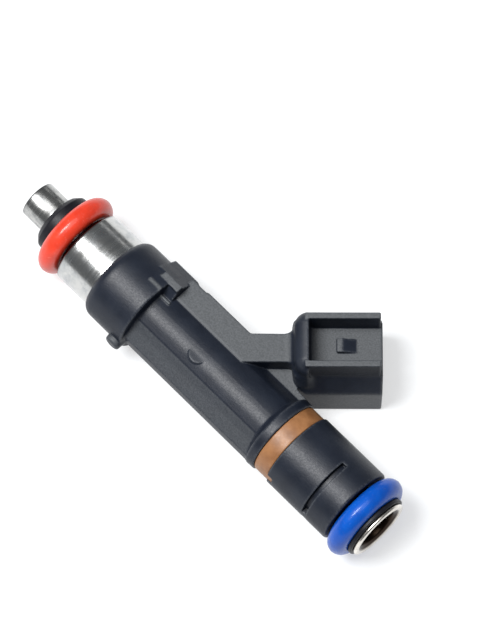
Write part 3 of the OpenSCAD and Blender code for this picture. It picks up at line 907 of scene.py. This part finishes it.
def shape_plug(f):
    """The plug housing with its rails, lock wedge and socket."""
    low, high = (ARM_X + 3, 4, PLUG_BOTTOM_Z), (ARM_X + 25, 24.5, RAIL_TOP_Z)
    f.add(plug_body, low, high, 0.35)
    # The hood is barely grained, so it gets little painted top light and its top stays darker.
    f.add(plug_hood, low, high, 1.6, grain=0.1)
    f.add(plug_rails, low, high, 0.2)
    under, top = PLUG_FLOOR_Z - 0.4, PLUG_FLOOR_Z + NIB_H
    step = [
        (NIB_U, under, 0), (NIB_U + 0.9, under, 0), (NIB_U + 0.9, top, 0.1), (NIB_U, top, 0.1),
    ]
    ramp = [
        (NIB_U + 0.7, under, 0), (NIB_U + 3.4, under, 0), (NIB_U + 3, PLUG_FLOOR_Z, 0),
        (NIB_U + 0.9, top, 0.05), (NIB_U + 0.7, top, 0.05),
    ]
    for side_view, fillet, grain in ((step, 0.12, 1), (ramp, 0.06, 0)):
        f.add(plug_profile(side_view, NIB_V0, NIB_V1, 0.08), low, high, fillet, grain)
    socket = [
        (-SOCKET_HALF, SOCKET_Z0, SOCKET_R), (SOCKET_HALF, SOCKET_Z0, SOCKET_R),
        (SOCKET_HALF, SOCKET_Z1, SOCKET_R), (-SOCKET_HALF, SOCKET_Z1, SOCKET_R),
    ]
    f.remove(plug_section(socket, PLUG_U1 - SOCKET_DEPTH, PLUG_U1 + 3, 0.1), low, high, 0.3)


def tint_ring():
    """The coloured ring, with its key towards the end sleeve."""
    f = Field((RING_X0 - 0.4, -6.7, -6.7), (RING_X1 + 1.6, 6.7, 6.7), FINE_VOXEL)
    f.add(turned([
        (RING_X0 + 0.02, SOLID, 0), (RING_X0 + 0.02, RING_R, 0.15),
        (RING_X1 - 0.02, RING_R, 0.15), (RING_X1 - 0.02, SOLID, 0),
    ]), (RING_X0, -6, -6), (RING_X1, 6, 6), grain=0)

    def key(x, y, z):
        r = np.sqrt(y ** 2 + z ** 2)
        return meet(0.1, np.abs(x - RING_X1) - KEY_LEN, r - RING_R + 0 * x,
                    y - KEY_TOP_Y + 0 * x, np.abs(z - KEY_Z) - KEY_HALF + 0 * x)

    f.add(key, (RING_X1 - 1, -6, -1), (RING_X1 + 1, KEY_TOP_Y, 2), 0.1)
    f.remove(turned([
        (0, SOLID, 0), (0, MAIN_R + 0.01, 0), (PITCH, MAIN_R + 0.01, 0), (PITCH, SOLID, 0),
    ]), (RING_X0 - 1, -6, -6), (RING_X1 + 2, 6, 6), 0.02)
    return field_object("tint_ring", f, brown)


def rail_sleeve():
    """The black sleeve at the inlet end, with the groove for the retaining clip."""
    low, high = (RING_X1 - 0.5, -7, -7), (SLEEVE_X1 + 0.5, 7, 7)
    f = Field(low, high, FINE_VOXEL)
    f.add(turned([
        (RING_X1 + 0.03, SOLID, 0), (RING_X1 + 0.03, SLEEVE_R, 0.12),
        (SLEEVE_X1, SLEEVE_R, 0.4), (SLEEVE_X1, SOLID, 0),
    ]), low, high, grain=0)

    def slots(x, y, z):
        r = np.sqrt(y ** 2 + z ** 2)
        return meet(0.05, np.abs(x - SLOT_X - SLOT_W / 2) - SLOT_W / 2,
                    SLEEVE_R - SLOT_DEPTH - r + 0 * x, y - SLOT_TOP_Y + 0 * x,
                    SLOT_BRIDGE_HALF - np.abs(z) + 0 * x)

    f.remove(slots, low, high, 0.1)

    def notch(x, y, z):
        return meet(0.05, x - RING_X1 - (KEY_LEN + KEY_GAP), y - KEY_TOP_Y + 0 * x,
                    np.abs(z - KEY_Z) - (KEY_HALF + KEY_GAP) + 0 * x)

    f.remove(notch, (RING_X1 - 1, -7, -1), (RING_X1 + 2, KEY_TOP_Y, 2), 0.05)
    f.remove(turned([
        (0, SOLID, 0), (0, MAIN_R, 0), (RING_X1 + 3, MAIN_R, 0), (RING_X1 + 3, TUBE_R, 0),
        (PITCH, TUBE_R, 0), (PITCH, SOLID, 0),
    ]), low, high, 0.02)
    return field_object("rail_sleeve", f, body_black)


def seal_ring(name, x, material):
    """A rubber O-ring with the fine line left where its mould closed."""
    steps, middle, flash = 48, TUBE_R + CORD_R, 0.03
    corners = []
    for i in range(steps):
        a = 2 * math.pi * i / steps
        r = CORD_R if i in (0, steps // 2) else CORD_R - flash
        corners.append((x + r * math.sin(a), middle + r * math.cos(a), 0))
    return lathe_object(name, corners, material, turns=144)


def steel_shell():
    """The bright can round the coil, open at the back."""
    front, wall, bottom = SHELL_X0, 0.9, 1.4
    return lathe_object("steel_shell", [
        (front, TUBE_R + 0.01, 0), (front, SHELL_R - 0.02, 0.55), (SHELL_X1, SHELL_R - 0.02, 0.05),
        (SHELL_X1, SHELL_R - wall, 0), (front + bottom, SHELL_R - wall, 0.2),
        (front + bottom, TUBE_R + 0.01, 0),
    ], shell_steel, turns=192)


def nozzle_body():
    """The steel nozzle: tip, the seat of the retainer and the plug pressed into the tube."""
    return lathe_object("nozzle_body", [
        (TIP_X, TIP_BORE_R, 0.1), (TIP_X, TIP_R, 0.22), (RETAINER_X0 - 0.7, TIP_R, 0),
        (RETAINER_X0 - 0.6, TIP_R - 0.06, 0), (RETAINER_X0 - 0.05, TIP_R - 0.06, 0),
        (RETAINER_X0, TIP_R + 0.28, 0), (STEP_X, TIP_R + 0.28, 0), (STEP_X, TUBE_R, 0.05),
        (TUBE_X0 - 0.05, TUBE_R, 0), (TUBE_X0, TUBE_BORE_R - 0.01, 0),
        (TUBE_X0 + 2.6, TUBE_BORE_R - 0.01, 0.1), (TUBE_X0 + 2.6, TIP_BORE_R, 0),
    ], tip_steel)


def front_retainer():
    """The dark ring that keeps the nozzle's O-ring on."""
    back = -CORD_R - 0.02
    return lathe_object("front_retainer", [
        (RETAINER_X0, TIP_R + 0.31, 0), (RETAINER_X0, 4.15, 0.2),
        (RETAINER_X0 + 0.8, 4.9, 0.35), (back, 4.95, 0.2), (back, TUBE_R + 0.01, 0),
        (STEP_X, TUBE_R + 0.01, 0), (STEP_X, TIP_R + 0.31, 0),
    ], dark_ring)


def backing_washer():
    """The dark ring between the inlet's O-ring and the flare."""
    return lathe_object("backing_washer", [
        (BACK_X0, TUBE_R + 0.01, 0), (BACK_X0, BACK_R, 0.2), (BACK_X1 - 0.01, BACK_R, 0.2),
        (BACK_X1 - 0.01, TUBE_R + 0.01, 0),
    ], dark_ring)


def inlet_tube():
    """The steel tube that carries the fuel, flared at the inlet."""
    return lathe_object("inlet_tube", [
        (TUBE_X0, TUBE_BORE_R, 0), (TUBE_X0, TUBE_R - 0.005, 0.05), (BACK_X1, TUBE_R - 0.005, 0),
        (BACK_X1, FLARE_R, 0.28), (TUBE_X1, FLARE_R, 0.28), (TUBE_X1, FLARE_R - LIP_T, 0.12),
        (TUBE_X1 - 0.5, TUBE_BORE_R + 0.15, 0.3), (TUBE_X1 - 1.2, TUBE_BORE_R, 0),
    ], tube_steel)


PIECES = (
    (moulded_body, "body_overmould", "black_nylon"),
    (tint_ring, "colour_ring", "brown_nylon"),
    (rail_sleeve, "end_sleeve", "black_nylon"),
    (steel_shell, "solenoid_shell", "bright_steel"),
    (nozzle_body, "valve_body", "machined_steel"),
    (front_retainer, "nozzle_retainer", "retainer_plastic"),
    (backing_washer, "inlet_backing_ring", "retainer_plastic"),
    (inlet_tube, "fuel_tube", "drawn_steel"),
)
for build, node, slot in PIECES:
    stand_in(build(), node)
stand_in(seal_ring("nozzle_seal_ring", 0.0, orange), "nozzle_o_ring")
stand_in(seal_ring("inlet_seal_ring", PITCH, blue), "inlet_o_ring")

INNER = {
    "valve_seat": hard_steel, "spray_disc": hard_steel, "valve_ball": hard_steel,
    "valve_needle": tube_steel, "armature": iron, "return_spring": spring_steel,
    "pole_core": iron, "spring_adjuster": adjuster_steel, "coil_bobbin": ivory,
    "coil_winding": wound_copper("enamelled_copper"), "flux_washer": iron,
    "terminal_a": tinned, "terminal_b": tinned, "filter_ring": brass,
    "filter_frame": filter_white, "filter_mesh": woven_mesh("mesh_nylon"),
}
for node, material in INNER.items():
    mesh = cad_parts[node].data
    mesh.materials.clear()
    mesh.materials.append(material)


# ---------------------------------------------------------------- floor, light and camera
def make_floor():
    """A plain pale floor just under the object."""
    s = Shader("floor_white")
    s.set(Base_Color=(0.44, 0.45, 0.46, 1), Roughness=0.8, Emission_Color=(1, 1, 1, 1),
          Emission_Strength=0.55)
    half, gap = 1500.0, 0.02
    z = FLOOR_Z - gap
    corners = [(-half, -half, z), (half, -half, z), (half, half, z), (-half, half, z)]
    floor = new_object("floor", corners, [(0, 1, 2, 3)], s.material)


def direction(azimuth, elevation):
    """The unit vector towards a view, whose azimuth counts from -Y towards +X."""
    a, e = math.radians(azimuth), math.radians(elevation)
    return Vector((math.sin(a) * math.cos(e), -math.cos(a) * math.cos(e), math.sin(e)))


def panel(name, towards, distance, size, power):
    """A square soft light that faces the object's middle."""
    light = bpy.data.lights.new(name, "AREA")
    light.shape = "SQUARE"
    light.size = size
    light.energy = power
    obj = bpy.data.objects.new(name, light)
    bpy.context.scene.collection.objects.link(obj)
    towards = Vector(towards).normalized()
    obj.location = AIM + towards * distance
    obj.rotation_mode = "QUATERNION"
    obj.rotation_quaternion = (-towards).to_track_quat("-Z", "Y")
    return obj


def make_world():
    """Dim surroundings for reflections, and a pale backdrop behind the floor."""
    world = bpy.data.worlds.new("studio")
    bpy.context.scene.world = world
    world.use_nodes = True
    tree = world.node_tree
    tree.nodes.clear()
    pale, dim = (tree.nodes.new("ShaderNodeBackground") for _ in range(2))
    pale.inputs["Color"].default_value = (0.93, 0.94, 0.95, 1)
    dim.inputs["Color"].default_value = (0.92, 0.96, 1.0, 1)
    dim.inputs["Strength"].default_value = 0.16
    mix = tree.nodes.new("ShaderNodeMixShader")
    rays = tree.nodes.new("ShaderNodeLightPath")
    out = tree.nodes.new("ShaderNodeOutputWorld")
    tree.links.new(rays.outputs["Is Camera Ray"], mix.inputs[0])
    tree.links.new(dim.outputs[0], mix.inputs[1])
    tree.links.new(pale.outputs[0], mix.inputs[2])
    tree.links.new(mix.outputs[0], out.inputs[0])


def make_camera():
    """A long lens at the photograph's viewing angle."""
    camera_data = bpy.data.cameras.new("camera")
    camera_data.sensor_width = 36.0
    camera_data.lens = CAMERA_LENS
    camera_data.clip_start, camera_data.clip_end = 0.05, 10.0
    camera = bpy.data.objects.new("camera", camera_data)
    bpy.context.scene.collection.objects.link(camera)
    back = direction(CAMERA_AZIMUTH, CAMERA_ELEVATION)
    camera.location = AIM + back * CAMERA_DISTANCE
    camera.rotation_mode = "QUATERNION"
    camera.rotation_quaternion = (-back).to_track_quat("-Z", "Y")
    bpy.context.scene.camera = camera


make_floor()
make_world()
make_camera()
panel("key", (-0.24, -0.33, 0.91), distance=0.6, size=0.26, power=4.6)
panel("overhead", (0.05, 0.0, 1.0), distance=0.6, size=0.4, power=1.2)
streak = panel("streak", (-0.24, 0.91, 0.33), distance=0.5, size=0.5, power=0.05)
streak.data.shape, streak.data.size_y = "RECTANGLE", 0.05
bpy.context.scene.view_settings.view_transform = "Standard"
